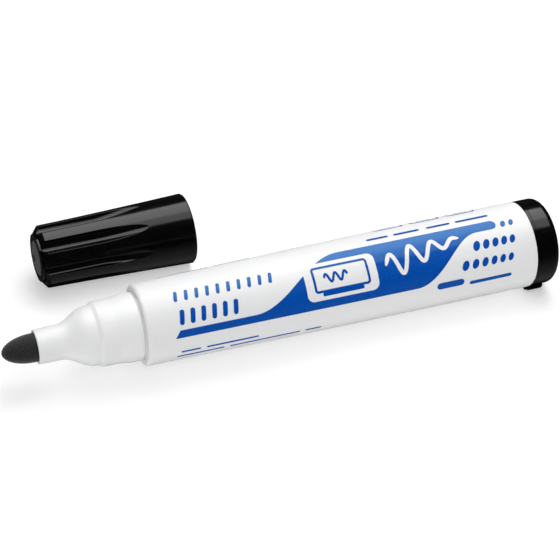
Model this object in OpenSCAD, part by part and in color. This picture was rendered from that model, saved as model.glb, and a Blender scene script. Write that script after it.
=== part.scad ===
// Whiteboard marker with its cap off, lying beside it on a flat surface.
// The marker lies along X, its nib towards -X. Z is up and the surface is z = 0.
// Stations along the marker are measured from the shoulder's face, towards the rear plug.
// Depths in the cap are measured from its mouth, towards its closed end.

/* [Barrel] */
// Length of the barrel behind its shoulder
barrel_len = 83.2; // [75:0.1:95]
// Radius of the barrel at the shoulder
shoulder_r = 8.2; // [8.1:0.05:8.6]
// Radius of the barrel at its rear rim
rear_r = 9; // [8.9:0.05:9.4]
// Radius of the rounded shoulder edge
shoulder_round = 0.7; // [0.3:0.1:1]
// Radius of the barrel's rear bore, which takes the plug
bore_r = 7.75; // [7.6:0.05:7.9]
// Radius of the barrel's cavity just behind the shoulder
cavity_front_r = 7.05; // [7:0.05:7.2]

/* [Neck and nose] */
// Radius of the neck where the cap's mouth sits
neck_r = 6.9; // [6.8:0.05:6.95]
// Radius of the neck's sealing land, ahead of that
land_r = 6.52; // [6.4:0.02:6.56]
// Length of the neck, from the shoulder to the ridge
neck_len = 7.9; // [7.5:0.1:8]
// Radius at the wide end of the nose, under the ridge
nose_root_r = 5.95; // [5.7:0.05:6]
// Radius of the nose tube
nose_r = 3.52; // [3.45:0.01:3.55]
// Length from the shoulder to the nose tube's rim
nose_len = 20.5; // [19.5:0.1:21]

/* [Nib] */
// Radius of the nib's fibre rod
nib_r = 2.87; // [2.6:0.01:2.9]
// Length of the nib that shows ahead of the nose tube
nib_out = 6.7; // [6.4:0.1:7]
// Length of the nib's rounded point
nib_point = 6.2; // [5:0.1:6.4]
// Length of the whole nib rod
nib_len = 38; // [36:0.5:40]

/* [Ink reservoir] */
// Radius of the fibre core
core_r = 6.35; // [6:0.05:6.35]
// Length of the fibre core
core_len = 68; // [55:1:68]
// Wall of the film round the core
film_wall = 0.2; // [0.1:0.05:0.25]

/* [Rear plug] */
// Length of the plug that shows behind the barrel
plug_len = 5.3; // [4.5:0.05:6]
// Radius of the plug's visible ring
plug_r = 8.95; // [8.7:0.05:9]
// Radius of the rounded rear edge
plug_round = 1.5; // [0.5:0.1:2]
// Length of the plug's spigot inside the barrel
spigot_len = 9; // [7:0.5:10]
// Length of the anti-roll tab along the marker
tab_len = 3.5; // [2.5:0.1:4]
// Width of the anti-roll tab
tab_w = 2.2; // [1.5:0.1:3]
// Angle of the tab's near corner from straight down
tab_angle = 24; // [20:1:26]

/* [Cap] */
// Depth from the cap's mouth to its end edge
cap_len = 31.3; // [31:0.05:32]
// Outer radius of the cap at its mouth
mouth_r = 7.48; // [7.45:0.01:7.7]
// Outer radius of the cap at its closed end
tail_r = 6.6; // [6.55:0.05:6.8]
// Radius of the cap's mouth bore
mouth_bore_r = 6.98; // [6.98:0.01:7]
// Number of flutes round the cap
flutes = 8; // [6:1:9]
// Radius of each flute's cutter
flute_r = 1.75; // [1.7:0.05:1.9]
// Radius from the cap's axis to the bottom of a flute
flute_floor_r = 5.55; // [5.5:0.05:5.7]
// Turn of the flutes from straight up, towards the near side
flute_turn = 39; // [0:1:45]

/* [Cap's place] */
// Distance of the cap's axis from the marker's axis
cap_aside = 31; // [20:0.5:40]
// Station of the cap's mouth along the marker
cap_station = 20.6; // [5:0.1:40]

/* [Hidden] */
fine = 96;
gap = 0.03;

tip_station = -nose_len - nib_out;
end_station = barrel_len + plug_len;
// The origin is under the middle of the marker and the cap, on the surface they lie on.
middle_station = (tip_station + end_station) / 2;
middle_y = (cap_aside + mouth_r - rear_r) / 2;

// Straight pieces that a gently curved side is drawn with. The barrel has few, so that
// it lies still on the middle one.
steps = 8;
barrel_steps = 3;
// The ridge ahead of the neck's sealing land, and the round at the land's foot.
ridge_len = 0.8;
ridge_front = -neck_len - ridge_len;
ridge_rise = 0.03;
land_foot_r = 0.25;
// The sealing land ends here, and a ramp leads from it to the neck.
land_end = -5.2;
ramp_end = -2.7;
neck_front = -2.4;
ramp_drop = 0.05;
flare_start = -9.7;
flare_end = -15.9;
// The groove between the neck and the shoulder.
relief = 0.4;
relief_depth = 0.2;
rim_round = 0.15;
rim_draft = 0.07;
rear_chamfer = 0.12;
nib_bore_r = nib_r + 0.05;
nib_bore_start = -15;

core_front = 3;
core_end = core_front + core_len;
film_r = core_r + gap;
// A barrel rib's clearance from the reservoir, its outer radius and its thickness.
barrel_rib = [0.2, 7.9, 1];

// Quarter arc about [r, s], from angle a0 to a1, measured from the radius towards +s.
function arc(r, s, size, a0, a1, n = 6) =
    [for (i = [0:n]) let (a = a0 + (a1 - a0) * i / n) [r + size * cos(a), s + size * sin(a)]];

// The nose swells from the tube to its root along half a cosine wave.
function flare_at(t) = nose_r + (nose_root_r - nose_r) * (1 - cos(180 * t)) / 2;

// The barrel swells towards the rear along a quarter sine wave.
function barrel_at(t) = shoulder_r + (rear_r - shoulder_r) * sin(90 * t);

// The cap narrows towards its closed end, most quickly near the mouth.
function cap_at(depth) = tail_r + (mouth_r - tail_r) * pow(1 - depth / cap_len, 1.3);

// Turns an outline of [radius, station] points about the marker's axis.
module turned(points) {
    translate([-middle_station, -middle_y, rear_r])
        rotate([0, 90, 0])
            rotate_extrude($fn = fine)
                polygon(points);
}

// Places what is drawn along +X from the cap's closed end to its mouth at x = 0.
module at_cap() {
    translate([cap_station - middle_station, cap_aside - middle_y, mouth_r])
        children();
}

// Turns an outline of [radius, depth] points about the cap's axis.
module turned_cap(points) {
    at_cap()
        rotate([0, -90, 0])
            rotate_extrude($fn = fine)
                polygon(points);
}

// Six thin ribs along the marker, between two radii and two stations.
module ribs(r0, r1, s0, s1, thick) {
    for (i = [0:5])
        rotate([60 * i, 0, 0])
            translate([s0, -thick / 2, r0])
                cube([s1 - s0, thick, r1 - r0]);
}

function barrel_outside() = concat(
    arc(nose_r - rim_draft - rim_round, -nose_len + rim_round, rim_round, -90, 0, 3),
    [for (i = [0:10]) [flare_at(i / 10), flare_end + (flare_start - flare_end) * i / 10]],
    [[nose_root_r + ridge_rise, ridge_front]],
    arc(land_r - land_foot_r, -neck_len + 0.1, land_foot_r, -50, 0, 3),
    [[land_r, land_end], [neck_r - ramp_drop, ramp_end], [neck_r, neck_front]],
    [[neck_r, -relief], [neck_r - relief_depth, -relief], [neck_r - relief_depth, 0]],
    arc(shoulder_r - shoulder_round, shoulder_round, shoulder_round, -90, 0),
    [for (i = [1:barrel_steps - 1]) [barrel_at(i / barrel_steps), barrel_len * i / barrel_steps]],
    [[rear_r, barrel_len - rear_chamfer], [rear_r - rear_chamfer, barrel_len]]
);

bore_step = barrel_len - spigot_len - 0.5;

// Radii inside the neck, at its rear, at its front and under the flare.
neck_inside = [5.8, 5.4, 4.7];

function barrel_inside() = [
    [bore_r, barrel_len],
    [bore_r, bore_step],
    [bore_r - 0.2, bore_step],
    [cavity_front_r, 2],
    [neck_inside[0], 1],
    [neck_inside[1], -8.5],
    [neck_inside[2], -10.5],
    [nib_bore_r, nib_bore_start],
    [nib_bore_r, -nose_len]
];

module barrel() {
    color("white") {
        turned(concat(barrel_outside(), barrel_inside()));
        translate([-middle_station, -middle_y, rear_r])
            ribs(core_r + film_wall + barrel_rib[0], barrel_rib[1], core_front, core_end - 4, barrel_rib[2]);
    }
}

module nib() {
    point_base = tip_station + nib_point;
    color("#161616")
        turned(concat(
            [for (i = [0:9]) [nib_r * sin(10 * i), point_base - nib_point * cos(10 * i)]],
            [[nib_r, tip_station + nib_len - 1], [nib_r - 1, tip_station + nib_len], [0, tip_station + nib_len]]
        ));
}

module reservoir_core() {
    socket_end = tip_station + nib_len + 0.3;
    color("#33363f")
        turned([
            [nib_bore_r, core_front], [core_r, core_front], [core_r, core_end],
            [0, core_end], [0, socket_end], [nib_bore_r, socket_end]
        ]);
}

module reservoir_film() {
    color("#c8ccd2")
        turned([
            [film_r, core_front], [film_r + film_wall, core_front],
            [film_r + film_wall, core_end], [film_r, core_end]
        ]);
}

// The tab's near corner reaches the surface, so that the marker rests against it.
tab_corner_r = rear_r / cos(tab_angle);
tab_out = sqrt(pow(tab_corner_r, 2) - pow(tab_w / 2, 2));
tab_middle = tab_angle + asin(tab_w / 2 / tab_corner_r);
// The tab's root is this far inside the ring, and its outer edges are cut back by these.
tab_sunk = 1;
tab_rear_cut = 0.5;
tab_front_cut = 0.4;

module anti_roll_tab() {
    tab_tall = tab_out - plug_r + tab_sunk;
    translate([barrel_len - middle_station, -middle_y, rear_r])
        rotate([180 - tab_middle, 0, 0])
            translate([0, 0, plug_r - tab_sunk])
                rotate([90, 0, 0])
                    translate([0, 0, -tab_w / 2])
                        linear_extrude(tab_w)
                            polygon([
                                [0, 0], [tab_len, 0], [tab_len, tab_sunk],
                                [tab_len - tab_rear_cut, tab_tall], [tab_front_cut, tab_tall],
                                [0, tab_tall - tab_front_cut]
                            ]);
}

module rear_plug() {
    wall = 1.2;
    lead_in = 0.4;
    edge_cut = 0.1;
    spigot_r = bore_r - gap;
    front = barrel_len - spigot_len;
    color("#1b1b1d") {
        turned(concat(
            [[spigot_r - wall, front], [spigot_r - lead_in, front], [spigot_r, front + 1]],
            [[spigot_r, barrel_len], [plug_r - edge_cut, barrel_len], [plug_r, barrel_len + edge_cut]],
            arc(plug_r - plug_round, end_station - plug_round, plug_round, 0, 90),
            [[0, end_station], [0, end_station - wall], [spigot_r - wall, end_station - wall]]
        ));
        anti_roll_tab();
    }
}

// The cap's closed end is a cone, then a groove round a ring whose hole shows the liner.
cap_round = 0.2;
end_chamfer = 0.35;
cone_len = 0.95;
groove_depth = 0.4;
groove_w = 0.25;
groove_floor = cap_len + cone_len - groove_depth;
ring_r = 5.1;
ring_out = 1.2;
disc_out = 1.15;
end_hole_r = 4.15;
end_wall_front = cap_len - 1.4;
liner_bore_r = 5;
liner_bore_start = 13.1;

function cap_outside() = concat(
    arc(mouth_r - cap_round, cap_round, cap_round, -90, 0, 3),
    [for (i = [1:steps]) let (d = (cap_len - end_chamfer) * i / steps) [cap_at(d), d]],
    [[tail_r - cap_round, cap_len], [ring_r + groove_w, cap_len + cone_len]],
    [[ring_r + groove_w, groove_floor], [ring_r, groove_floor]],
    arc(ring_r - cap_round, cap_len + ring_out - cap_round, cap_round, 0, 90, 3),
    [[end_hole_r, cap_len + ring_out]]
);

// Inside the mouth come a wider land that clears the neck, and a step that meets its ridge.
cap_land_r = 6.6;
cap_step_r = 6.1;

function cap_inside() = [
    [end_hole_r, end_wall_front],
    [liner_bore_r, end_wall_front],
    [liner_bore_r, liner_bore_start],
    [cap_step_r - 0.1, 10.2],
    [cap_step_r, 8.9],
    [cap_land_r, 8.1],
    [cap_land_r, 4.6],
    [mouth_bore_r, 2.8],
    [mouth_bore_r, 0]
];

// A long cutter with a cone for its nose, which leaves the cap's surface in a pointed run-out.
module flute_cutter() {
    nose_start = 18.8;
    nose_long = 10;
    past_end = cap_len + 3;
    translate([0, 0, flute_floor_r + flute_r])
        rotate([0, -90, 0])
            rotate_extrude($fn = fine / 2)
                polygon([
                    [0, nose_start - nose_long], [flute_r, nose_start],
                    [flute_r, past_end], [0, past_end]
                ]);
}

module cap_shell() {
    color("#1b1b1d")
        difference() {
            turned_cap(concat(cap_outside(), cap_inside()));
            at_cap()
                for (i = [0:flutes - 1])
                    rotate([flute_turn + 360 * i / flutes, 0, 0])
                        flute_cutter();
        }
}

module cap_liner() {
    front = 13.4;
    tube_end = end_wall_front - gap;
    rib_r = liner_bore_r - gap;
    rib_thick = 0.8;
    tube_r = 4.65;
    inner_r = 3.95;
    floor_depth = cap_len - 2.9;
    // The seal's lip closes on the nose tube, with this much room round it.
    lip_r = nose_r + 0.08;
    lip = [15.6, 16.4, 17];
    disc_r = 3.75;
    disc_face = cap_len + disc_out;
    disc_cut = 0.15;
    dimple_r = 0.35;
    dimple_floor = disc_face - 0.2;
    color("#4a4a4c") {
        turned_cap([
            [inner_r + 0.3, front], [tube_r, front], [tube_r, tube_end],
            [disc_r, tube_end], [disc_r, disc_face - disc_cut],
            [disc_r - disc_cut, disc_face], [dimple_r, disc_face],
            [dimple_r, dimple_floor], [0, dimple_floor],
            [0, floor_depth], [inner_r, floor_depth],
            [inner_r, lip[2]], [lip_r, lip[1]], [lip_r, lip[0]]
        ]);
        at_cap()
            mirror([1, 0, 0])
                ribs(tube_r - 0.3, rib_r, front + 1, cap_len - 2, rib_thick);
    }
}

barrel();
nib();
reservoir_core();
reservoir_film();
rear_plug();
cap_shell();
cap_liner();
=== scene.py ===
"""The looks of the whiteboard marker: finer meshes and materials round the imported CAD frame.

Lengths are millimetres until mesh_object turns them into metres. Stations run along the marker
from its shoulder towards the rear plug, and depths run into the cap from its mouth, as in the CAD.
"""
import math
import random

import bmesh
import bpy
from mathutils import Matrix, Vector


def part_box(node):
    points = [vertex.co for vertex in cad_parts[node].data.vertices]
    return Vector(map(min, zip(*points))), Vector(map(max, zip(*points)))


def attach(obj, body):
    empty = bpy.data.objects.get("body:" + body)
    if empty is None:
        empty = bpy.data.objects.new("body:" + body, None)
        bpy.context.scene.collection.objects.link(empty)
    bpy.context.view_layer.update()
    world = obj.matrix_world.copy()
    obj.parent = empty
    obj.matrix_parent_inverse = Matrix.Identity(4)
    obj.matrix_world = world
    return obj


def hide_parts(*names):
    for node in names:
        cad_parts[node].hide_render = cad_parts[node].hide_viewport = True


MM = 0.001

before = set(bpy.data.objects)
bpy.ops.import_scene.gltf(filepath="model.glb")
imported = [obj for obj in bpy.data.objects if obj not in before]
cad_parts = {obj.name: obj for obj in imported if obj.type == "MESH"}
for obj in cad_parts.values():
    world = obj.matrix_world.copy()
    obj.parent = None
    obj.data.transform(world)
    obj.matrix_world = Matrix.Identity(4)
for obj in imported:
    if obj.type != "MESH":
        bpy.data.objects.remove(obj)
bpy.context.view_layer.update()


# ---------------------------------------------------------------- the frame's places

barrel_low, barrel_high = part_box("barrel")
nib_low, nib_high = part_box("nib")
plug_low, plug_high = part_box("rear_plug")
shell_low, shell_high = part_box("cap_shell")

BARREL_LEN = 83.2
AXIS_Y = (barrel_low.y + barrel_high.y) / 2 / MM
AXIS_Z = (barrel_low.z + barrel_high.z) / 2 / MM
SHOULDER_X = barrel_high.x / MM - BARREL_LEN
# The print lies this thick on the barrel, which is that much slimmer, to stay in the CAD's box.
FILM_TOP = 0.02
REAR_R = (barrel_high.z - barrel_low.z) / 2 / MM - FILM_TOP
NOSE_LEN = SHOULDER_X - barrel_low.x / MM
TIP = nib_low.x / MM - SHOULDER_X
NIB_END = nib_high.x / MM - SHOULDER_X
NIB_R = (nib_high.z - nib_low.z) / 2 / MM
PLUG_FRONT = plug_low.x / MM - SHOULDER_X
PLUG_END = plug_high.x / MM - SHOULDER_X

CAP_Y = (shell_low.y + shell_high.y) / 2 / MM
CAP_Z = (shell_low.z + shell_high.z) / 2 / MM
MOUTH_X = shell_high.x / MM
MOUTH_R = (shell_high.z - shell_low.z) / 2 / MM


# ---------------------------------------------------------------- outlines

def rounded(corners, arc_points=6):
    """Rounds the corners of an open outline. A corner is (station, radius, fillet).

    Just outside each arc a holding point keeps the arc's shading off the straight beside it.
    """
    outline = []
    for i, (x, r, fillet) in enumerate(corners):
        here = Vector((x, r))
        if fillet <= 0 or i in (0, len(corners) - 1):
            outline.append((x, r))
            continue
        before = (Vector(corners[i - 1][:2]) - here)
        after = (Vector(corners[i + 1][:2]) - here)
        half = before.angle(after) / 2
        if half > math.radians(89.5):
            outline.append((x, r))
            continue
        before.normalize()
        after.normalize()
        centre = here + (before + after).normalized() * (fillet / math.sin(half))
        start = here + before * (fillet / math.tan(half)) - centre
        turn = math.pi - 2 * half
        side = 1 if start.x * after.y - start.y * after.x > 0 else -1
        reach = fillet / math.tan(half)
        hold = min(0.2 * reach, 0.04)
        outline.append(tuple(here + before * (reach + hold)))
        for k in range(arc_points + 1):
            a = side * turn * k / arc_points
            outline.append((
                centre.x + start.x * math.cos(a) - start.y * math.sin(a),
                centre.y + start.x * math.sin(a) + start.y * math.cos(a),
            ))
        outline.append(tuple(here + after * (reach + hold)))
    return outline


def spaced(low, high, count):
    return [low + (high - low) * i / count for i in range(count + 1)]


# ---------------------------------------------------------------- meshes

def mesh_object(name, verts, faces, sharp_degrees=28):
    """Makes an object from millimetre points. Faces are smooth, apart from creases over the angle."""
    mesh = bpy.data.meshes.new(name)
    mesh.from_pydata([(x * MM, y * MM, z * MM) for x, y, z in verts], [], faces)
    bm = bmesh.new()
    bm.from_mesh(mesh)
    bmesh.ops.remove_doubles(bm, verts=bm.verts, dist=1e-8)
    bmesh.ops.recalc_face_normals(bm, faces=bm.faces)
    for face in bm.faces:
        face.smooth = True
    for edge in bm.edges:
        if len(edge.link_faces) == 2 and edge.calc_face_angle(0) > math.radians(sharp_degrees):
            edge.smooth = False
    bm.to_mesh(mesh)
    bm.free()
    piece = bpy.data.objects.new(name, mesh)
    bpy.context.scene.collection.objects.link(piece)
    return piece


def grid_faces(rows, columns, close_rows):
    """Quads over a grid whose columns wrap round, and whose rows do too if close_rows."""
    faces = []
    for i in range(rows if close_rows else rows - 1):
        for j in range(columns):
            a, b = i * columns, (i + 1) % rows * columns
            k = (j + 1) % columns
            faces.append((a + j, a + k, b + k, b + j))
    return faces


def on_marker(station, radius, angle):
    """A point by its station, its radius and its angle from the -Y side towards the top."""
    return (
        SHOULDER_X + station,
        AXIS_Y - radius * math.cos(angle),
        AXIS_Z + radius * math.sin(angle),
    )


def on_cap(depth, radius, angle):
    return (
        MOUTH_X - depth,
        CAP_Y - radius * math.cos(angle),
        CAP_Z + radius * math.sin(angle),
    )


def lathe(name, outline, place, columns=192, closed=True):
    """Turns an outline about an axis. An outline that isn't closed starts and ends on the axis."""
    verts = [
        place(x, max(r, 0), 2 * math.pi * j / columns)
        for x, r in outline
        for j in range(columns)
    ]
    return mesh_object(name, verts, grid_faces(len(outline), columns, closed))


# ---------------------------------------------------------------- the marker's pieces

NOSE_R = 3.52
NOSE_ROOT_R = 5.95
FLARE_START, FLARE_END = -9.7, -15.9
LAND_R = 6.52
NECK_R = 6.9
SHOULDER_R = 8.2
SHOULDER_ROUND = 0.7
BORE_R = 7.75
NIB_BORE_R = NIB_R + 0.05


def barrel_radius(station):
    """The barrel swells towards the rear along a quarter sine wave."""
    return SHOULDER_R + (REAR_R - SHOULDER_R) * math.sin(math.pi / 2 * station / BARREL_LEN)


def build_barrel():
    nose = rounded([
        (-17, NIB_BORE_R, 0),
        (-NOSE_LEN, NIB_BORE_R, 0.12),
        (-NOSE_LEN, NOSE_R - 0.06, 0.18),
        (FLARE_END, NOSE_R, 0),
    ])
    flare = [
        (FLARE_END + (FLARE_START - FLARE_END) * t,
         NOSE_R + (NOSE_ROOT_R - NOSE_R) * (1 - math.cos(math.pi * t)) / 2)
        for t in spaced(0, 1, 24)[1:-1]
    ]
    neck = rounded([
        (FLARE_START, NOSE_ROOT_R, 0),
        (-8.95, NOSE_ROOT_R + 0.06, 0.5),
        (-8.2, LAND_R - 0.02, 0.35),
        (-5.2, LAND_R, 2),
        (-2.7, NECK_R - 0.02, 1.5),
        (-0.45, NECK_R, 0.1),
        (-0.3, NECK_R - 0.2, 0.08),
        (0, NECK_R - 0.2, 0.1),
        (0, SHOULDER_R, SHOULDER_ROUND),
        (4, barrel_radius(4), 0),
    ], 10)
    body = [(s, barrel_radius(s)) for s in spaced(4, BARREL_LEN - 1, 40)[1:]]
    rear = rounded([
        (BARREL_LEN - 0.5, REAR_R, 0),
        (BARREL_LEN, REAR_R, 0.2),
        (BARREL_LEN, BORE_R, 0.1),
        (BARREL_LEN - 9.5, BORE_R, 0),
        (BARREL_LEN - 9.5, BORE_R - 0.2, 0),
        (2, 7.05, 0),
        (1, 5.8, 0),
        (-8.5, 5.4, 0),
        (-10.5, 4.7, 0),
        (-15, NIB_BORE_R, 0),
    ])
    return lathe("barrel_body", nose + flare + neck + body + rear, on_marker)


NIB_POINT = 6.2
# How far the nib's surface sinks at most between its fibres, and in its small pits.
NIB_RIDGE, NIB_PIT = 0.014, 0.02


def build_nib():
    """The felt nib. Its fibres run lengthwise, and leave fine ridges and a slightly rough point."""
    base = TIP + NIB_POINT
    rng = random.Random(7)
    quarter = spaced(0, math.pi / 2, 64)
    outline = [(base - NIB_POINT * math.cos(a), NIB_R * math.sin(a)) for a in quarter]
    outline += [(s, NIB_R) for s in spaced(base, NIB_END - 1, 40)[1:]]
    outline += [(NIB_END, NIB_R - 1), (NIB_END, 0)]
    columns = 180
    ridges = [rng.uniform(-1, 0) for _ in range(columns)]
    verts = []
    for x, r in outline:
        shown = x < -NOSE_LEN + 2 and r > 0
        for j in range(columns):
            depth = NIB_RIDGE * ridges[j] + NIB_PIT * rng.uniform(-1, 0) if shown else 0
            verts.append(on_marker(x, r + depth * min(r, 1), 2 * math.pi * j / columns))
    return mesh_object("nib_point", verts, grid_faces(len(outline), columns, False), 80)


PLUG_R = 8.95
PLUG_ROUND = 1.5
# A fine line round the plug, this far behind the barrel's rim.
LINE_START, LINE_END, LINE_DEPTH = 0.5, 0.73, 0.07
TAB_LEN = 3.5
TAB_W = 2.2
TAB_NEAR_CORNER = 24


def build_plug():
    wall = 1.2
    spigot_r = BORE_R - 0.03
    outline = rounded([
        (PLUG_END - wall, 0, 0),
        (PLUG_END - wall, spigot_r - wall, 0.3),
        (PLUG_FRONT, spigot_r - wall, 0.2),
        (PLUG_FRONT, spigot_r - 0.3, 0.2),
        (PLUG_FRONT + 1, spigot_r, 0),
        (BARREL_LEN, spigot_r, 0),
        (BARREL_LEN, PLUG_R, 0.12),
        (BARREL_LEN + LINE_START, PLUG_R, 0.04),
        (BARREL_LEN + LINE_START + 0.05, PLUG_R - LINE_DEPTH, 0.03),
        (BARREL_LEN + LINE_END - 0.05, PLUG_R - LINE_DEPTH, 0.03),
        (BARREL_LEN + LINE_END, PLUG_R, 0.04),
        (PLUG_END, PLUG_R, PLUG_ROUND),
        (PLUG_END, 0, 0),
    ], 12)
    return lathe("plug_body", outline, on_marker, closed=False)


def build_tab():
    """The anti-roll tab: a small block with rounded edges, sunk into the plug's ring."""
    corner_r = AXIS_Z / math.cos(math.radians(TAB_NEAR_CORNER))
    out = math.sqrt(corner_r ** 2 - (TAB_W / 2) ** 2)
    middle = math.radians(TAB_NEAR_CORNER) + math.asin(TAB_W / 2 / corner_r)
    profile = [(0, 0), (0, 0.82), (0.12, 1), (TAB_LEN - 0.5, 1), (TAB_LEN, 0.55), (TAB_LEN, 0)]
    root = PLUG_R - 0.6
    verts = []
    for side in (-1, 1):
        for along, share in profile:
            height = root + (out - root) * (0.36 + 0.64 * share) if share else root
            verts.append((along, side * TAB_W / 2, height))
    count = len(profile)
    faces = [tuple(range(count)), tuple(range(2 * count - 1, count - 1, -1))]
    faces += [(i, (i + 1) % count, count + (i + 1) % count, count + i) for i in range(count)]
    # The block is drawn standing on +Z, and turns about the marker's axis to its place.
    turn = Matrix.Rotation(math.pi - middle, 3, "X")
    placed = []
    for x, y, z in verts:
        p = turn @ Vector((x, y, z))
        placed.append((SHOULDER_X + BARREL_LEN + p.x, AXIS_Y + p.y, AXIS_Z + p.z))
    tab = mesh_object("plug_tab", placed, faces)
    bevel = tab.modifiers.new("edges", "BEVEL")
    bevel.width = 0.14 * MM
    bevel.segments = 3
    bevel.limit_method = "ANGLE"
    return tab


# ---------------------------------------------------------------- the cap's pieces

CAP_LEN = 31.3
TAIL_R = 6.6
MOUTH_BORE_R = 6.98
FLUTES = 8
FLUTE_BOTTOM_ROUND = 1.4
FLUTE_WALL_LEAN = math.radians(75)
FLUTE_EDGE_ROUND = 0.12
FLUTE_FLOOR_R = 5.42
FLUTE_TURN = 6
FLUTE_NOSE_START, FLUTE_NOSE = 19.8, 10.2
CONE_LEN = 0.95
GROOVE_DEPTH = 0.4
RING_R = 5.1
RING_FACE = CAP_LEN + 1.36
END_HOLE_R = 3.88


def cap_radius(depth):
    """The cap narrows towards its closed end, most quickly near the mouth."""
    return TAIL_R + (MOUTH_R - TAIL_R) * max(1 - depth / CAP_LEN, 0) ** 1.3


def flute_floor(depth):
    """Radius of a flute's bottom. It rises out of the cap's side in a long gentle ramp."""
    t = min(max((FLUTE_NOSE_START - depth) / FLUTE_NOSE, 0), 1)
    run_out = cap_radius(FLUTE_NOSE_START - FLUTE_NOSE)
    return FLUTE_FLOOR_R + (run_out - FLUTE_FLOOR_R) * t ** 1.2


WALL_STEPS, EDGE_STEPS = 15, 5
# Shares of the plain stretch beside a flute. They crowd at its edge.
BESIDE_FLUTE = (0.03, 0.08, 0.16, 0.28, 0.44, 0.62, 0.8)
# Where there is no flute, its columns close up to this angle near the flute's tip.
PLAIN_EDGE = 0.02


def flute_section(depth, radius):
    """(radius, angle) points from a flute's middle to just short of halfway to the next flute.

    A flute has a round bottom and steep walls, and a small fillet joins it to the cap's side.
    """
    floor = flute_floor(depth)
    ahead = FLUTE_NOSE_START - FLUTE_NOSE - depth
    if ahead >= 0 or floor >= radius:
        edge = PLAIN_EDGE + 0.1 * min(max(ahead, 0) / 4, 1)
        section = [(radius, edge * t) for t in spaced(0, 1, WALL_STEPS + EDGE_STEPS)]
    else:
        # The bottom's arc is about this centre, and the fillet's centre is r out from the axis.
        centre = Vector((floor + FLUTE_BOTTOM_ROUND, 0))
        outer = FLUTE_BOTTOM_ROUND + FLUTE_EDGE_ROUND
        r = radius - FLUTE_EDGE_ROUND
        lean = FLUTE_WALL_LEAN
        along = Vector((math.sin(lean), math.cos(lean)))
        root = centre - outer * Vector((math.cos(lean), -math.sin(lean)))
        wall = math.sqrt(root.dot(along) ** 2 - root.length_squared + r ** 2) - root.dot(along)
        if wall < 0:
            # Too shallow for a straight wall: the fillet meets the bottom's arc.
            wall = 0
            edge = math.acos((r ** 2 + centre.x ** 2 - outer ** 2) / (2 * r * centre.x))
            lean = math.acos((centre.x - r * math.cos(edge)) / outer)
            fillet = Vector((r * math.cos(edge), r * math.sin(edge)))
        else:
            fillet = root + wall * along
            edge = math.atan2(fillet.y, fillet.x)
        points = []
        for length in spaced(0, FLUTE_BOTTOM_ROUND * lean + wall, WALL_STEPS):
            a = min(length / FLUTE_BOTTOM_ROUND, lean)
            straight = length - FLUTE_BOTTOM_ROUND * a
            on_arc = centre + FLUTE_BOTTOM_ROUND * Vector((-math.cos(a), math.sin(a)))
            points.append(on_arc + straight * along)
        for t in spaced(0, 1, EDGE_STEPS)[1:]:
            a = (lean + edge) * t - lean
            points.append(fillet + FLUTE_EDGE_ROUND * Vector((math.cos(a), math.sin(a))))
        section = [(point.length, math.atan2(point.y, point.x)) for point in points]
    return section + [(radius, edge + (math.pi / FLUTES - edge) * t) for t in BESIDE_FLUTE]


def fluted_ring(depth, radius):
    """(radius, angle) points all round the cap at a depth, on columns that follow the flutes."""
    section = flute_section(depth, radius)
    ring = []
    for i in range(FLUTES):
        middle = math.pi / 2 + math.radians(FLUTE_TURN) + 2 * math.pi * i / FLUTES
        ring += [(r, middle - a) for r, a in reversed(section[1:])]
        ring += [(r, middle + a) for r, a in section]
        ring.append((radius, middle + math.pi / FLUTES))
    return ring


def build_cap_shell():
    mouth = rounded([
        (2.8, MOUTH_BORE_R, 0),
        (0, MOUTH_BORE_R, 0.12),
        (0, MOUTH_R, 0.22),
        (1, cap_radius(1), 0),
    ])
    # The flutes' tips take the closest rows.
    tip = FLUTE_NOSE_START - FLUTE_NOSE
    depths = []
    for start, end, count in ((1, tip, 12), (tip, tip + 3, 40), (tip + 3, CAP_LEN - 1, 40)):
        depths += spaced(start, end, count)[1:]
    side = [(d, cap_radius(d)) for d in depths]
    tail = rounded([
        (CAP_LEN - 0.6, cap_radius(CAP_LEN - 0.6), 0),
        (CAP_LEN, TAIL_R - 0.03, 0.2),
        (CAP_LEN + CONE_LEN, RING_R + 0.25, 0.1),
        (CAP_LEN + CONE_LEN - GROOVE_DEPTH, RING_R + 0.22, 0.05),
        (CAP_LEN + CONE_LEN - GROOVE_DEPTH, RING_R, 0.05),
        (RING_FACE, RING_R, 0.12),
        (RING_FACE, END_HOLE_R, 0.08),
        (CAP_LEN - 1.4, END_HOLE_R, 0),
        (CAP_LEN - 1.4, 5, 0),
        (13.1, 5, 0.5),
        (10.2, 6, 0.5),
        (8.9, 6.1, 0.2),
        (8.1, 6.6, 0.2),
        (4.6, 6.6, 0.5),
        (3.2, 6.93, 0),
    ])
    outline = mouth + side + tail
    rings = [fluted_ring(depth, radius) for depth, radius in outline]
    verts = [on_cap(outline[i][0], r, angle) for i, ring in enumerate(rings) for r, angle in ring]
    return mesh_object("cap_shell_body", verts, grid_faces(len(outline), len(rings[0]), True), 32)


DISC_FACE = CAP_LEN + 1.4
DISC_R = 3.76
GATE_R = 0.72
GATE_DEEP = 0.7
GATE_ASIDE = 2.2
GATE_ANGLE = math.radians(216)


def near_gate(depth, radius, angle, drift=1):
    """A point about the gate mark's middle, or about a share of the way there from the cap's axis."""
    x, y, z = on_cap(depth, radius, angle)
    aside = GATE_ASIDE * drift
    return x, y - aside * math.cos(GATE_ANGLE), z + aside * math.sin(GATE_ANGLE)


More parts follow.
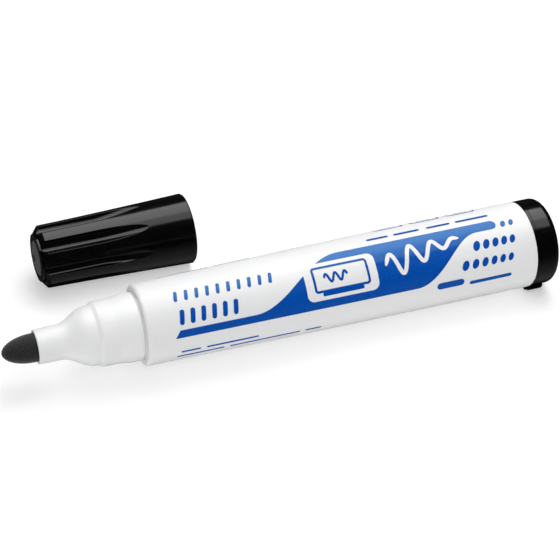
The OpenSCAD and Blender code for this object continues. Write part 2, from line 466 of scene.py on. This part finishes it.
def build_cap_liner():
    """The inner cap: a tube with a seal lip, and the disc that fills the hole in the cap's end."""
    front = 13.4
    floor_depth = CAP_LEN - 2.9
    flange = CAP_LEN - 1.43
    gate = rounded([
        (DISC_FACE - GATE_DEEP, 0, 0),
        (DISC_FACE - GATE_DEEP, GATE_R - 0.08, 0.1),
        (DISC_FACE, GATE_R, 0.06),
        (DISC_FACE, GATE_R + 0.3, 0),
    ])
    outside = rounded([
        (DISC_FACE, DISC_R - 0.4, 0),
        (DISC_FACE, DISC_R, 0.16),
        (flange, DISC_R, 0.1),
        (flange, 4.65, 0.2),
        (front, 4.65, 0.15),
        (front, 4.25, 0.1),
        (15.6, 3.6, 0.2),
        (16.4, 3.6, 0.2),
        (17, 3.95, 0.2),
        (floor_depth, 3.95, 0.5),
        (floor_depth, 0, 0),
    ])
    # The gate mark is off the disc's centre, so the rings between drift from one to the other.
    face = []
    for t in spaced(0, 1, 14)[1:-1]:
        face.append((DISC_FACE, GATE_R + 0.3 + (DISC_R - 0.7 - GATE_R) * t, 1 - t))
    rings = [(d, r, 1) for d, r in gate] + face + [(d, r, 0) for d, r in outside]
    columns = 144
    verts = []
    for depth, radius, drift in rings:
        for j in range(columns):
            verts.append(near_gate(depth, radius, 2 * math.pi * j / columns, drift))
    return mesh_object("cap_liner_body", verts, grid_faces(len(rings), columns, False))


def build_liner_ribs():
    """Six ribs that centre the liner in the cap."""
    low, high, front, back, half = 4.35, 4.97, 14.4, CAP_LEN - 2, 0.4
    corners = [(front + 0.4, high), (front, high - 0.4), (front, low), (back, low), (back, high)]
    verts, faces = [], []
    for i in range(6):
        a = math.pi / 3 * i
        base = len(verts)
        for side in (-half, half):
            for depth, radius in corners:
                verts.append((
                    MOUTH_X - depth,
                    CAP_Y - radius * math.cos(a) + side * math.sin(a),
                    CAP_Z + radius * math.sin(a) + side * math.cos(a),
                ))
        count = len(corners)
        faces.append([base + k for k in range(count)])
        faces.append([base + count + k for k in reversed(range(count))])
        for k in range(count):
            m = (k + 1) % count
            faces.append([base + k, base + m, base + count + m, base + count + k])
    ribs = mesh_object("cap_liner_ribs", verts, faces)
    bevel = ribs.modifiers.new("edges", "BEVEL")
    bevel.width = 0.06 * MM
    bevel.segments = 2
    return ribs


# ---------------------------------------------------------------- the print

# The print lies on the barrel as thin closed films. Places on it are a station and an arc, which
# is the distance round the barrel from its near side, towards the top.
FILM_SUNK = 0.02
STEP = 0.45


def add_film(bm, rows, top=FILM_TOP, loop=False):
    """Adds a closed film over a grid of (station, arc) points.

    A loop joins its last row to its first.
    """
    layers = []
    for height in (top, -FILM_SUNK):
        layer = []
        for row in rows:
            made = []
            for station, arc in row:
                r = barrel_radius(station)
                x, y, z = on_marker(station, r + height, arc / r)
                made.append(bm.verts.new((x * MM, y * MM, z * MM)))
            layer.append(made)
        layers.append(layer)
    upper, lower = layers
    count, across = len(rows), len(rows[0])
    for i in range(count if loop else count - 1):
        k = (i + 1) % count
        for j in range(across - 1):
            bm.faces.new((upper[i][j], upper[k][j], upper[k][j + 1], upper[i][j + 1]))
            bm.faces.new((lower[i][j + 1], lower[k][j + 1], lower[k][j], lower[i][j]))
        bm.faces.new((upper[i][0], lower[i][0], lower[k][0], upper[k][0]))
        bm.faces.new((upper[k][-1], lower[k][-1], lower[i][-1], upper[i][-1]))
    if not loop:
        for i, order in ((0, 1), (count - 1, -1)):
            for j in range(across - 1):
                face = (upper[i][j], upper[i][j + 1], lower[i][j + 1], lower[i][j])
                bm.faces.new(face[::order])


def between(stations, low, high, step=STEP):
    """Rows of a film between two curves, each a function of the station."""
    widest = max(high(s) - low(s) for s in stations)
    count = max(int(widest / step), 2)
    return [[(s, low(s) + (high(s) - low(s)) * t) for t in spaced(0, 1, count)] for s in stations]


def round_spaced(low, high, count):
    """Stations that crowd towards both ends, for an outline that closes in a half circle."""
    middle, half = (low + high) / 2, (high - low) / 2
    return [middle - half * math.cos(math.pi * i / count) for i in range(count + 1)]


def dot(bm, station, arc, radius, tall=1.35, lean=0.25):
    """An upright oval dot whose top leans towards the rear."""
    def half(s):
        return tall * math.sqrt(max(radius ** 2 - (s - station) ** 2, 0))
    stations = round_spaced(station - radius, station + radius, 16)
    rows = between(stations, lambda s: arc - half(s), lambda s: arc + half(s))
    add_film(bm, [[(s + lean * (a - arc), a) for s, a in row] for row in rows])


def stroke(bm, path, width, top=FILM_TOP, loop=False, taper=None):
    """A film of one width along a path. It has round ends, or thins towards them over taper."""
    points = [Vector(p) for p in path]
    count = len(points)
    length = [0.0]
    for i in range(1, count):
        length.append(length[-1] + (points[i] - points[i - 1]).length)
    rows = []
    for i, p in enumerate(points):
        after = points[(i + 1) % count] if loop or i < count - 1 else p
        before = points[i - 1] if loop or i > 0 else p
        along = (after - before).normalized()
        side = Vector((-along.y, along.x)) * width / 2
        if not loop:
            end = min(length[i], length[-1] - length[i])
            reach = taper or width / 2
            side *= math.sqrt(max(1 - (1 - min(end / reach, 1)) ** 2, 0))
        rows.append([tuple(p + side * share) for share in (-1, -0.5, 0, 0.5, 1)])
    add_film(bm, rows, top, loop)


def line_path(x0, y0, x1, y1, width):
    """Points along a straight stroke, which crowd at its round ends."""
    whole = math.hypot(x1 - x0, y1 - y0)
    ends = [width / 2 * (1 - math.cos(math.pi / 2 * i / 6)) for i in range(7)]
    middle = spaced(width / 2, whole - width / 2, max(int(whole / STEP), 2))[1:-1]
    places = ends + middle + [whole - e for e in reversed(ends)]
    return [(x0 + (x1 - x0) * t / whole, y0 + (y1 - y0) * t / whole) for t in places]


def bar(bm, x0, y0, x1, y1, width, top=FILM_TOP):
    stroke(bm, line_path(x0, y0, x1, y1, width), width, top)


def round_box_path(x0, y0, x1, y1, corner):
    """Points round a box with rounded corners."""
    path = []
    for cx, cy, start in (
        (x1 - corner, y1 - corner, 0),
        (x0 + corner, y1 - corner, 90),
        (x0 + corner, y0 + corner, 180),
        (x1 - corner, y0 + corner, 270),
    ):
        for k in range(9):
            a = math.radians(start + 90 * k / 8)
            path.append((cx + corner * math.cos(a), cy + corner * math.sin(a)))
    whole = []
    for i, p in enumerate(path):
        q = path[(i + 1) % len(path)]
        cuts = max(int(math.dist(p, q) / STEP), 1)
        for k in range(cuts):
            whole.append((p[0] + (q[0] - p[0]) * k / cuts, p[1] + (q[1] - p[1]) * k / cuts))
    return whole


def film_object(name, bm):
    bmesh.ops.remove_doubles(bm, verts=bm.verts, dist=1e-8)
    bmesh.ops.recalc_face_normals(bm, faces=bm.faces)
    for face in bm.faces:
        face.smooth = True
    for edge in bm.edges:
        if len(edge.link_faces) == 2 and edge.calc_face_angle(0) > math.radians(40):
            edge.smooth = False
    mesh = bpy.data.meshes.new(name)
    bm.to_mesh(mesh)
    bm.free()
    piece = bpy.data.objects.new(name, mesh)
    bpy.context.scene.collection.objects.link(piece)
    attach(piece, "marker")
    return piece


def ease(t):
    """A smooth step from 0 to 1."""
    t = min(max(t, 0), 1)
    return t * t * (3 - 2 * t)


STRIPE_LOW, STRIPE_HIGH = 1.15, 2.75
STRIPE_START = 5.4
STRIPE_SLANT = 1.1
WAVE_START, WAVE_TOP_END = 22.0, 41.5
WAVE_HIGH = 12.4
WAVE_FOOT, WAVE_FOOT_END = 56.5, 71.0
WAVE_NECK = 10.25
WAVE_END = 75.8


def build_wave():
    """The blue band: a stripe that swells in a smooth wave and narrows to a round-ended tail."""
    tail_half = (WAVE_HIGH - WAVE_NECK) / 2
    tail_middle = (WAVE_HIGH + WAVE_NECK) / 2

    def high(s):
        share = ease((s - WAVE_START) / (WAVE_TOP_END - WAVE_START))
        return min(STRIPE_HIGH + (WAVE_HIGH - STRIPE_HIGH) * share, tail_middle + tail_round(s))

    def low(s):
        share = ease((s - WAVE_FOOT) / (WAVE_FOOT_END - WAVE_FOOT))
        return max(STRIPE_LOW + (WAVE_NECK - STRIPE_LOW) * share, tail_middle - tail_round(s))

    def tail_round(s):
        past = s - (WAVE_END - tail_half)
        if past <= 0:
            return 100
        return math.sqrt(max(tail_half ** 2 - past ** 2, 0))

    def slant(s):
        """The stripe's front end, which is cut at a slant."""
        return STRIPE_LOW + (STRIPE_HIGH - STRIPE_LOW) * (s - STRIPE_START) / STRIPE_SLANT

    bm = bmesh.new()
    slant_end = STRIPE_START + STRIPE_SLANT
    stations = spaced(STRIPE_START, slant_end, 4)[:-1] + spaced(slant_end, WAVE_END - tail_half, 150)
    stations += [WAVE_END - tail_half * (1 - math.sin(math.pi / 2 * k / 12)) for k in range(1, 13)]
    rows = []
    for s in stations:
        bottom, top = low(s), min(high(s), slant(s))
        rows.append([(s, bottom + (top - bottom) * t) for t in spaced(0, 1, 26)])
    add_film(bm, rows)
    return film_object("print_wave", bm)


def build_marks():
    """Rows of slanted dashes and plain bars where a maker would print words, and a grid of dots."""
    bm = bmesh.new()
    lean = 0.5
    for count, start, pitch, low, high, width in (
        (10, 6.7, 2.16, 8.45, 10.75, 0.72),
        (6, 7.0, 2.2, 3.75, 6.75, 0.95),
    ):
        for i in range(count):
            x = start + pitch * i
            bar(bm, x, low, x + lean, high, width)
    for arc, width, bars in (
        (14.1, 0.6, ((48.5, 53.2), (54.4, 60.0), (61.6, 66.8), (68.0, 75.3))),
        (0.55, 1.5, ((60.6, 66.6),)),
        (-0.1, 0.8, ((67.8, 77.2),)),
        (-2.55, 0.5, ((6.6, 10.6), (11.8, 22.6))),
        (-4.1, 0.5, ((5.9, 15.6), (16.8, 31.5), (32.6, 36.0))),
    ):
        for x0, x1 in bars:
            bar(bm, x0, arc, x1, arc, width)
    rows = ((11.0, 2, 77.3, 1.85, 0.56), (7.4, 5, 70.2, 2.2, 0.76), (3.85, 6, 67.1, 2.27, 0.76))
    for arc, count, start, step, first in rows:
        for i in range(count):
            dot(bm, start + (step - 0.05 * i) * i, arc, first - 0.035 * i)
    return film_object("print_marks", bm)


PANEL = (33.0, 2.9, 48.2, 10.6)


def build_panel():
    """A white panel on the band, with the sign of a writing board on it, and a hand-drawn wave."""
    x0, y0, x1, y1 = PANEL
    top = FILM_TOP * 2
    corner = 1.4
    bm = bmesh.new()

    def inset(s):
        """How far the panel's edge has come in at a station, from its rounded corners."""
        past = max(x0 + corner - s, s - x1 + corner, 0)
        return corner - math.sqrt(max(corner ** 2 - past ** 2, 0))

    ends = [corner * (1 - math.cos(math.pi / 2 * k / 8)) for k in range(9)]
    stations = [x0 + e for e in ends] + spaced(x0 + corner, x1 - corner, 22)[1:-1]
    stations += [x1 - e for e in reversed(ends)]
    add_film(bm, between(stations, lambda s: y0 + inset(s), lambda s: y1 - inset(s)), top)
    doodle = []
    for t in spaced(0, 1, 150):
        swing = 3.2 * (1 - t) ** 0.8 * min(4 * t + 0.35, 1)
        doodle.append((50.2 + 16.8 * t, 7.1 + 2.8 * t + swing * math.sin(2 * math.pi * 3.5 * t)))
    stroke(bm, doodle, 0.85, top, taper=1.6)
    return film_object("print_white", bm)


def build_board_sign():
    x0, y0, x1, y1 = PANEL
    top = FILM_TOP * 3
    bm = bmesh.new()
    stroke(bm, round_box_path(x0 + 1.9, y0 + 1.75, x1 - 1.9, y1 - 1.1, 0.5), 0.5, top, loop=True)
    bar(bm, x0 + 3.2, y0 + 1.15, x1 - 3.2, y0 + 1.15, 0.75, top)
    squiggle = []
    for t in spaced(0, 1, 60):
        squiggle.append((x0 + 4 + 5 * t, (y0 + y1) / 2 + 0.4 + 0.85 * math.sin(2 * math.pi * 2.5 * t)))
    stroke(bm, squiggle, 0.5, top)
    return film_object("print_board_sign", bm)


def build_back_marks():
    """Plain bars and a framed box on the side away from the camera."""
    bm = bmesh.new()
    bar(bm, 5.5, 24.4, 76, 24.4, 1.5)
    for arc, bars in (
        (21.4, ((5.6, 19), (20.5, 34), (35.2, 41))),
        (19.8, ((5.6, 12), (13.2, 28.4), (29.6, 38))),
        (18.2, ((5.6, 16.4), (17.6, 25))),
    ):
        for x0, x1 in bars:
            bar(bm, x0, arc, x1, arc, 0.55)
    for i in range(3):
        x = 52 + 8 * i
        stroke(bm, round_box_path(x, 17.6, x + 6, 22.2, 0.7), 0.35, loop=True)
        bar(bm, x + 1.4, 19.1, x + 4.6, 19.1, 0.5)
        dot(bm, x + 3, 20.8, 0.55, 1, 0)
    return film_object("print_back", bm)


# ---------------------------------------------------------------- placing and naming

barrel = build_barrel()
nib = build_nib()
plug = build_plug()
tab = build_tab()
cap_shell = build_cap_shell()
cap_liner = build_cap_liner()
liner_ribs = build_liner_ribs()
blue_prints = [build_wave(), build_marks(), build_board_sign(), build_back_marks()]
white_print = build_panel()

for piece, body, node, slot in (
    (barrel, "marker", "barrel", "barrel_white"),
    (nib, "marker", "nib", "nib_fibre"),
    (plug, "marker", "rear_plug", "plug_black"),
    (tab, "marker", None, "plug_black"),
    (cap_shell, "cap", "cap_shell", "cap_black"),
    (cap_liner, "cap", "cap_liner", "liner_grey"),
    (liner_ribs, "cap", None, "liner_grey"),
):
    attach(piece, body)
    if node:
        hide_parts(node)


# ---------------------------------------------------------------- materials

class Recipe:
    """A material on one Principled shader, with short ways to add the nodes that drive it."""

    def __init__(self, name, roughness, **values):
        self.material = bpy.data.materials.new(name)
        self.material.use_nodes = True
        self.nodes = self.material.node_tree.nodes
        self.links = self.material.node_tree.links
        self.shader = self.nodes["Principled BSDF"]
        self.shader.inputs["Roughness"].default_value = roughness
        for socket, value in values.items():
            self.shader.inputs[socket.replace("_", " ")].default_value = value
        self.place = self.nodes.new("ShaderNodeTexCoord").outputs["Object"]

    def noise(self, size, stretch=(1, 1, 1), detail=3, contrast=0.5):
        """Noise whose features are about size millimetres across, times stretch on each axis."""
        mapping = self.nodes.new("ShaderNodeMapping")
        mapping.inputs["Scale"].default_value = [1 / (size * MM * t) for t in stretch]
        self.links.new(self.place, mapping.inputs["Vector"])
        texture = self.nodes.new("ShaderNodeTexNoise")
        texture.inputs["Scale"].default_value = 1
        texture.inputs["Detail"].default_value = detail
        texture.inputs["Roughness"].default_value = contrast
        self.links.new(mapping.outputs["Vector"], texture.inputs["Vector"])
        return texture.outputs["Fac"]

    def ramp(self, source, *stops):
        """Colours along a source. A stop is (place, colour), and a colour may be one number."""
        node = self.nodes.new("ShaderNodeValToRGB")
        elements = node.color_ramp.elements
        while len(elements) < len(stops):
            elements.new(0.5)
        for element, (place, colour) in zip(elements, stops):
            element.position = place
            colour = colour if isinstance(colour, tuple) else (colour,) * 3
            element.color = (*colour, 1)
        self.links.new(source, node.inputs["Fac"])
        return node.outputs["Color"]

    def scratches(self, size, stretch, rarity):
        """Thin long streaks, 1 on a streak and 0 elsewhere."""
        return self.ramp(self.noise(size, stretch, 2), (rarity, 0.0), (rarity + 0.02, 1.0))

    def painted_shade_near(self, colour, point, radius):
        """A colour that falls to near black within radius millimetres of a point: painted shade."""
        apart = self.nodes.new("ShaderNodeVectorMath")
        apart.operation = "DISTANCE"
        apart.inputs[1].default_value = [c * MM for c in point]
        self.links.new(self.place, apart.inputs[0])
        share = self.nodes.new("ShaderNodeMapRange")
        share.inputs["From Min"].default_value = 0.9 * radius * MM
        share.inputs["From Max"].default_value = radius * MM
        share.inputs["To Min"].default_value = 0.05
        self.links.new(apart.outputs["Value"], share.inputs["Value"])
        scaled = self.nodes.new("ShaderNodeVectorMath")
        scaled.operation = "SCALE"
        self.links.new(colour, scaled.inputs[0])
        self.links.new(share.outputs["Result"], scaled.inputs["Scale"])
        return scaled.outputs["Vector"]

    def drive(self, socket, source):
        self.links.new(source, self.shader.inputs[socket])

    def bump(self, *layers):
        """Bumps, each a (source, height in millimetres, strength)."""
        normal = None
        for source, height, strength in layers:
            node = self.nodes.new("ShaderNodeBump")
            node.inputs["Distance"].default_value = height * MM
            node.inputs["Strength"].default_value = strength
            self.links.new(source, node.inputs["Height"])
            if normal:
                self.links.new(normal, node.inputs["Normal"])
            normal = node.outputs["Normal"]
        self.drive("Normal", normal)


def glossy_white():
    """The barrel's injection-moulded polypropylene, with faint flow lines along it."""
    r = Recipe("white_plastic", 0.34, IOR=1.46, Subsurface_Weight=0.12, Subsurface_Scale=0.0012)
    r.shader.inputs["Subsurface Radius"].default_value = (1, 0.9, 0.8)
    cloud = r.noise(9, (3, 1, 1))
    r.drive("Base Color", r.ramp(cloud, (0.3, (0.85, 0.855, 0.865)), (0.7, (0.885, 0.885, 0.885))))
    r.drive("Roughness", r.ramp(r.noise(2.5, (4, 1, 1)), (0.3, 0.28), (0.7, 0.4)))
    r.bump(
        (r.noise(0.35, (30, 1, 1), 2), 0.004, 0.25),
        (r.noise(0.12), 0.002, 0.3),
        (r.scratches(0.3, (12, 1, 1), 0.72), 0.003, 0.3),
    )
    return r.material


def black_plastic():
    """The cap's and plug's glossy black: fine moulding texture and light scratches."""
    r = Recipe("black_plastic", 0.15, IOR=1.46, Specular_IOR_Level=0.38)
    dark, light = (0.001, 0.001, 0.0011), (0.0025, 0.0025, 0.0026)
    r.drive("Base Color", r.ramp(r.noise(1.5), (0.35, dark), (0.75, light)))
    smooth = r.ramp(r.noise(1.2, (6, 1, 1), 4, 0.65), (0.3, 0.11), (0.75, 0.19))
    r.drive("Roughness", smooth)
    r.bump(
        (r.noise(0.22, (14, 1, 1), 3), 0.004, 0.3),
        (r.noise(0.09), 0.002, 0.35),
        (r.scratches(0.12, (18, 1, 1), 0.74), 0.002, 0.3),
    )
    return r.material


def matte_grey(low, high):
    """The inner cap's duller plastic, which shows in the cap's end, with painted shade darkening the
    gate mark's dimple.
    """
    r = Recipe("liner_plastic", 0.6, IOR=1.46)
    gate = near_gate(DISC_FACE - GATE_DEEP / 2, 0, 0)
    face = r.ramp(r.noise(0.6, detail=5), (0.3, low), (0.75, high))
    # Painted shade: the disc's colour falls to near black around the gate mark's dimple.
    r.drive("Base Color", r.painted_shade_near(face, gate, 0.85))
    r.drive("Roughness", r.ramp(r.noise(0.4), (0.3, 0.5), (0.7, 0.75)))
    r.bump((r.noise(0.16, detail=4), 0.02, 0.5), (r.noise(0.05), 0.005, 0.4))
    return r.material


def felt(name, dark, light):
    """Pressed fibre soaked with ink: a mottle of the felt's own tone with pale fibre ends, painted
    shade in the hollows between them, and a soft sheen.
    """
    r = Recipe(name, 0.95, IOR=1.4, Sheen_Weight=0.25, Sheen_Roughness=0.5)
    fibres = r.noise(0.1, (9, 1, 1), 4, 0.6)
    pores = r.noise(0.24, (1.4, 1, 1), 4, 0.7)
    palest = tuple(1.9 * c for c in light)
    # The colour follows the bump's height from the same noise, so its dark stop is painted shade in
    # the hollows.
    r.drive("Base Color", r.ramp(pores, (0.32, dark), (0.55, light), (0.78, palest)))
    r.drive("Roughness", r.ramp(fibres, (0.3, 0.8), (0.7, 1.0)))
    r.bump((fibres, 0.05, 0.6), (pores, 0.06, 0.5))
    return r.material


def ink():
    """Printed film: even colour with a trace of screen mottle, as glossy as the barrel under it."""
    r = Recipe("blue_ink", 0.22, IOR=1.46, Specular_IOR_Level=0.5, Specular_Tint=(0.48, 1, 0.96, 1))
    dark, light = (0.001, 0.066, 0.37), (0.002, 0.084, 0.46)
    r.drive("Base Color", r.ramp(r.noise(0.5), (0.3, dark), (0.7, light)))
    r.drive("Roughness", r.ramp(r.noise(1.5, (4, 1, 1)), (0.3, 0.16), (0.7, 0.24)))
    r.bump((r.noise(0.3, (20, 1, 1), 2), 0.004, 0.25), (r.noise(0.08), 0.001, 0.3))
    return r.material


def white_ink():
    r = Recipe("white_ink", 0.34, IOR=1.5)
    r.drive("Base Color", r.ramp(r.noise(0.4), (0.3, (0.84, 0.84, 0.85)), (0.7, (0.88, 0.88, 0.88))))
    r.drive("Roughness", r.ramp(r.noise(1.5, (4, 1, 1)), (0.3, 0.26), (0.7, 0.38)))
    r.bump((r.noise(0.3, (20, 1, 1), 2), 0.004, 0.25), (r.noise(0.08), 0.001, 0.3))
    return r.material


def clear_film():
    """The reservoir's wrap, which is sealed inside the barrel."""
    r = Recipe("clear_film", 0.2, IOR=1.5, Transmission_Weight=0.6)
    r.drive("Base Color", r.ramp(r.noise(2), (0.3, (0.7, 0.72, 0.75)), (0.7, (0.8, 0.81, 0.83))))
    r.bump((r.noise(0.6, (20, 1, 1)), 0.02, 0.4))
    return r.material


white = glossy_white()
black = black_plastic()
grey = matte_grey((0.07, 0.07, 0.072), (0.11, 0.11, 0.112))
blue = ink()

black_felt = felt("nib_felt", (0.004, 0.004, 0.005), (0.017, 0.017, 0.019))
blue_felt = felt("reservoir_fibre", (0.01, 0.01, 0.014), (0.03, 0.03, 0.04))

finishes = [(barrel, white), (nib, black_felt)]
finishes += [(piece, black) for piece in (plug, tab, cap_shell)]
finishes += [(piece, grey) for piece in (cap_liner, liner_ribs)]
finishes += [(piece, blue) for piece in blue_prints] + [(white_print, white_ink())]
finishes += [
    (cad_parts["reservoir_core"], blue_felt),
    (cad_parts["reservoir_film"], clear_film()),
]
for piece, material in finishes:
    piece.data.materials.clear()
    piece.data.materials.append(material)

# The cap's and the plug's gloss mirrors only the studio, and not the white barrel beside them.
for piece in (barrel, white_print, *blue_prints):
    piece.visible_glossy = False


# ---------------------------------------------------------------- camera, floor and light

CAMERA_AZIMUTH, CAMERA_ELEVATION, CAMERA_ROLL = -21.18, 35.82, 0.87
CAMERA_PLACE = Vector((-117.575, -316.5, 246.3)) * MM
SENSOR_WIDTH = 36
FOCAL_LENGTH = 128.57


def build_camera():
    a, e = math.radians(CAMERA_AZIMUTH), math.radians(CAMERA_ELEVATION)
    back = Vector((math.sin(a) * math.cos(e), -math.cos(a) * math.cos(e), math.sin(e)))
    right = Vector((math.cos(a), math.sin(a), 0))
    data = bpy.data.cameras.new("camera")
    data.sensor_width = SENSOR_WIDTH
    data.lens = FOCAL_LENGTH
    data.clip_start = 0.01
    camera = bpy.data.objects.new("camera", data)
    bpy.context.scene.collection.objects.link(camera)
    turn = Matrix((right, back.cross(right), back)).transposed().to_4x4()
    roll = Matrix.Rotation(math.radians(CAMERA_ROLL), 4, "Z")
    camera.matrix_world = Matrix.Translation(CAMERA_PLACE) @ turn @ roll
    bpy.context.scene.camera = camera


def softbox(name, place, target, width, height, radiance, gloss=True, diffuse=True):
    """A rectangular light of even brightness, in watts per steradian and square metre."""
    data = bpy.data.lights.new(name, "AREA")
    data.shape = "RECTANGLE"
    data.size, data.size_y = width, height
    data.energy = radiance * math.pi * width * height
    light = bpy.data.objects.new(name, data)
    light.location = place
    light.rotation_euler = (Vector(target) - Vector(place)).to_track_quat("-Z", "Y").to_euler()
    light.visible_glossy = gloss
    light.visible_diffuse = diffuse
    bpy.context.scene.collection.objects.link(light)


def build_floor():
    """A white table, lit a little from below, so that shadows on it stay pale."""
    bpy.ops.mesh.primitive_plane_add(size=6, location=(0, 0, -0.00002))
    floor = bpy.context.object
    floor.name = "floor"
    r = Recipe("floor_white", 0.9, Specular_IOR_Level=0.1, Emission_Strength=0.42)
    r.shader.inputs["Base Color"].default_value = (0.64, 0.64, 0.64, 1)
    r.shader.inputs["Emission Color"].default_value = (1, 1, 1, 1)
    floor.data.materials.append(r.material)
    # Gloss doesn't pick the floor up, as if black card stood just out of the picture.
    floor.visible_glossy = False


def build_world():
    """Dark surroundings, a little lighter low at the front, which gloss sees in the floor's place."""
    world = bpy.data.worlds.new("studio")
    world.use_nodes = True
    nodes, links = world.node_tree.nodes, world.node_tree.links
    direction = nodes.new("ShaderNodeTexCoord").outputs["Generated"]
    split = nodes.new("ShaderNodeSeparateXYZ")
    links.new(direction, split.inputs["Vector"])
    low = nodes.new("ShaderNodeMapRange")
    low.interpolation_type = "SMOOTHSTEP"
    low.inputs["From Min"].default_value = -0.05
    low.inputs["From Max"].default_value = -0.9
    links.new(split.outputs["Z"], low.inputs["Value"])
    front = nodes.new("ShaderNodeMapRange")
    front.inputs["From Min"].default_value = 0.3
    front.inputs["From Max"].default_value = -0.1
    links.new(split.outputs["Y"], front.inputs["Value"])
    both = nodes.new("ShaderNodeMath")
    both.operation = "MULTIPLY"
    links.new(low.outputs["Result"], both.inputs[0])
    links.new(front.outputs["Result"], both.inputs[1])
    level = nodes.new("ShaderNodeMapRange")
    level.inputs["To Min"].default_value = 0.025
    level.inputs["To Max"].default_value = 0.3
    links.new(both.outputs["Value"], level.inputs["Value"])
    nodes["Background"].inputs["Color"].default_value = (1, 1, 1, 1)
    links.new(level.outputs["Result"], nodes["Background"].inputs["Strength"])
    bpy.context.scene.world = world
    bpy.context.scene.view_settings.view_transform = "Standard"


build_camera()
build_floor()
build_world()
softbox("overhead_softbox", (0.15, 0.085, 0.42), (0.15, 0.085, 0), 0.36, 0.52, 2.5)
softbox("overhead_core", (0.15, 0.165, 0.425), (0.15, 0.165, 0), 0.36, 0.31, 1.6)
softbox("left_card", (-0.155, 0.095, 0.42), (-0.155, 0.095, 0), 0.25, 0.5, 3.4, diffuse=False)
softbox("side_fill", (-0.55, -0.25, 0.16), (0, 0, 0.01), 0.5, 0.3, 1.9, gloss=False)
softbox("front_fill", (0, -0.5, 0.6), (0, 0, 0.01), 0.8, 0.4, 2, gloss=False)
softbox("rear_fill", (0, 0.62, 0.36), (0, 0, 0.01), 0.8, 0.4, 1.6, gloss=False)
